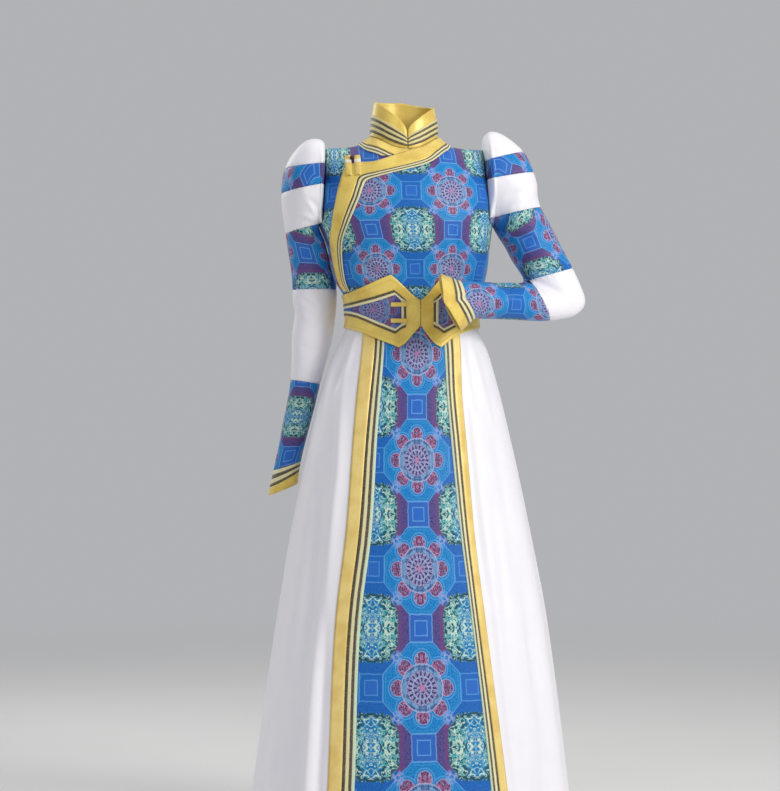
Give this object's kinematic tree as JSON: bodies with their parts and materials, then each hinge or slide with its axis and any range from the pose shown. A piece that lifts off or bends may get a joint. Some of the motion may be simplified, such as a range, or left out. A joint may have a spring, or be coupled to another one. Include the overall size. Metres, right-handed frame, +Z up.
{
  "type": "mongolian deel robe",
  "caption": "Floor-length deel-style robe, worn and hollow, with a stand collar, a side-fastened front, puffed banded sleeves, a winged belt and a flared skirt.",
  "frame": {"origin": "the middle of the neck's base on the shoulder line, where the wearer's shoulders hold the robe", "axes": "+Z up, -Y to the robe's front, +X to the wearer's left"},
  "size_m": [0.6548, 0.5776, 1.4542],
  "materials": {
    "blue_brocade": "woven brocade with a soft sheen",
    "belt_brocade": "woven brocade with a soft sheen",
    "white_satin": "satin",
    "gold_satin": "satin",
    "striped_ribbon": "woven stripes",
    "knot_cord": "matt cord"
  },
  "bodies": {
    "root": {"bodice_back": "blue_brocade", "bodice_front": "blue_brocade", "bodice_under_front": "blue_brocade", "collar": "gold_satin", "collar_ribbon": "striped_ribbon", "neck_band": "gold_satin", "neck_ribbon": "striped_ribbon", "overlap_band": "gold_satin", "overlap_ribbon": "striped_ribbon", "frog_loop_outer": "gold_satin", "frog_loop_inner": "gold_satin", "frog_knot": "knot_cord", "belt": "gold_satin", "belt_field": "belt_brocade", "belt_ribbon": "striped_ribbon", "belt_tab_upper": "gold_satin", "belt_tab_lower": "gold_satin", "skirt_front_panel": "blue_brocade", "skirt_gold_right": "gold_satin", "skirt_gold_left": "gold_satin", "skirt_ribbon_right": "striped_ribbon", "skirt_ribbon_left": "striped_ribbon", "skirt_gore_left": "white_satin", "skirt_gore_right": "white_satin", "skirt_back": "white_satin", "sleeve_right_cap": "white_satin", "sleeve_right_upper_brocade": "blue_brocade", "sleeve_right_upper_white": "white_satin", "sleeve_right_lower_brocade": "blue_brocade", "sleeve_right_elbow_white": "white_satin", "sleeve_right_forearm_brocade": "blue_brocade", "cuff_right_ribbon": "striped_ribbon", "cuff_right_gold": "gold_satin", "sleeve_left_cap": "white_satin", "sleeve_left_upper_brocade": "blue_brocade", "sleeve_left_upper_white": "white_satin", "sleeve_left_lower_brocade": "blue_brocade", "sleeve_left_elbow_white": "white_satin", "sleeve_left_forearm_brocade": "blue_brocade", "cuff_left_ribbon": "striped_ribbon", "cuff_left_gold": "gold_satin"}
  },
  "joints": []
}
